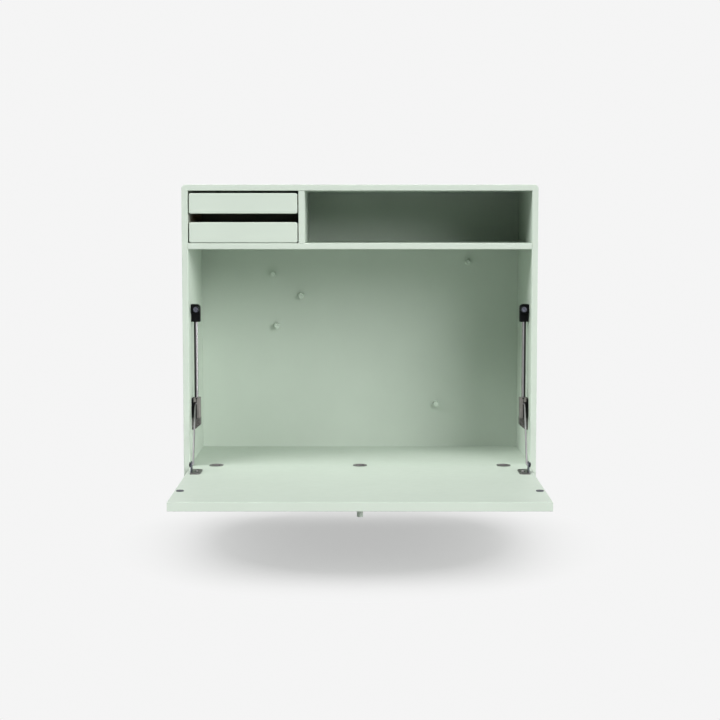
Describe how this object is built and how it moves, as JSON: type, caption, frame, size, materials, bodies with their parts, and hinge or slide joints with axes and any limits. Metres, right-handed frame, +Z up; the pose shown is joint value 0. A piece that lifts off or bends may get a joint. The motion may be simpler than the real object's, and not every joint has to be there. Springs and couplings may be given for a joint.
{
  "type": "fold down wall desk",
  "caption": "Wall-hung desk with a fold-down flap on sliding brake stays, pegs on its back wall, and drawers beside an open compartment above.",
  "frame": {"origin": "midway between the two wall screw openings, on the wall plane that the carcass's rear edges lie in", "axes": "+X to the right seen from the front, +Y into the wall, +Z up; the flap folds down towards -Y"},
  "size_m": [0.696, 0.709, 0.59],
  "materials": {
    "lacquer": "satin pale mint green lacquer",
    "birch": "plain clear varnish",
    "hinge_steel": "dull nickel plate",
    "chrome": "polished",
    "bright_wire": "drawn wire, bright plate",
    "black_plastic": "fine matt grain",
    "cast_grey": "die cast, satin",
    "dark_cast": "die cast, dark sand texture",
    "magnet": "ground face",
    "zinc_steel": "zinc plate"
  },
  "bodies": {
    "carcass": {"side_panel_left": "lacquer", "side_panel_right": "lacquer", "top_panel": "lacquer", "bottom_panel": "lacquer", "back_panel": "lacquer", "shelf": "lacquer", "drawer_divider": "lacquer", "hinge_board": "lacquer", "peg_1": "lacquer", "peg_2": "lacquer", "peg_3": "lacquer", "peg_4": "lacquer", "peg_5": "lacquer", "panel_dowels": "birch", "runner_upper_left": "birch", "runner_upper_right": "birch", "runner_lower_left": "birch", "runner_lower_right": "birch", "floor_hinge_left": "hinge_steel", "floor_hinge_centre": "hinge_steel", "floor_hinge_right": "hinge_steel", "stay_rod_left": "chrome", "stay_rod_right": "chrome", "stay_head_left": "black_plastic", "stay_head_right": "black_plastic", "stay_foot_left": "dark_cast", "stay_foot_right": "dark_cast", "catch_magnet_left": "magnet", "catch_magnet_right": "magnet", "wall_hanger_left": "zinc_steel", "wall_hanger_right": "zinc_steel", "hanger_screws": "zinc_steel", "stay_screws": "zinc_steel"},
    "flap": {"flap_board": "lacquer", "pull_knob": "lacquer", "flap_hinge_left": "hinge_steel", "flap_hinge_centre": "hinge_steel", "flap_hinge_right": "hinge_steel", "hinge_pins": "hinge_steel", "flap_bracket_left": "hinge_steel", "flap_bracket_right": "hinge_steel", "bracket_screws": "zinc_steel", "strike_disc_left": "hinge_steel", "strike_disc_right": "hinge_steel"},
    "link_left": {"stay_link_left": "bright_wire", "link_clip_left": "black_plastic"},
    "link_right": {"stay_link_right": "bright_wire", "link_clip_right": "black_plastic"},
    "slider_left": {"stay_slider_left": "cast_grey"},
    "slider_right": {"stay_slider_right": "cast_grey"},
    "upper_drawer": {"upper_drawer_front": "lacquer", "upper_drawer_side_left": "birch", "upper_drawer_side_right": "birch", "upper_drawer_back": "birch", "upper_drawer_bottom": "birch"},
    "lower_drawer": {"lower_drawer_front": "lacquer", "lower_drawer_side_left": "birch", "lower_drawer_side_right": "birch", "lower_drawer_back": "birch", "lower_drawer_bottom": "birch"}
  },
  "joints": [
    {"name": "flap_fold", "type": "hinge", "parent": "carcass", "child": "flap", "pos_m": [0, -0.284, -0.522], "axis": [-1, 0, 0], "range_deg": [0, 90]},
    {"name": "link_swing_left", "type": "hinge", "parent": "flap", "child": "link_left", "pos_m": [-0.3252, -0.376, -0.507], "axis": [1, 0, 0], "range_deg": [0, 134.4]},
    {"name": "slider_tilt_left", "type": "hinge", "parent": "link_left", "child": "slider_left", "pos_m": [-0.322, -0.258, -0.402], "axis": [-1, 0, 0], "range_deg": [0, 44.4]},
    {"name": "link_swing_right", "type": "hinge", "parent": "flap", "child": "link_right", "pos_m": [0.3252, -0.376, -0.507], "axis": [1, 0, 0], "range_deg": [0, 134.4]},
    {"name": "slider_tilt_right", "type": "hinge", "parent": "link_right", "child": "slider_right", "pos_m": [0.322, -0.258, -0.402], "axis": [-1, 0, 0], "range_deg": [0, 44.4]},
    {"name": "upper_drawer_slide", "type": "slide", "parent": "carcass", "child": "upper_drawer", "axis": [0, -1, 0], "range_m": [0, 0.17]},
    {"name": "lower_drawer_slide", "type": "slide", "parent": "carcass", "child": "lower_drawer", "axis": [0, -1, 0], "range_m": [0, 0.17]}
  ],
  "couplings": [
    {"joint": "link_swing_left", "follows": "flap_fold", "ratio": 1.4927},
    {"joint": "slider_tilt_left", "follows": "flap_fold", "ratio": 0.4927},
    {"joint": "link_swing_right", "follows": "flap_fold", "ratio": 1.4927},
    {"joint": "slider_tilt_right", "follows": "flap_fold", "ratio": 0.4927}
  ]
}
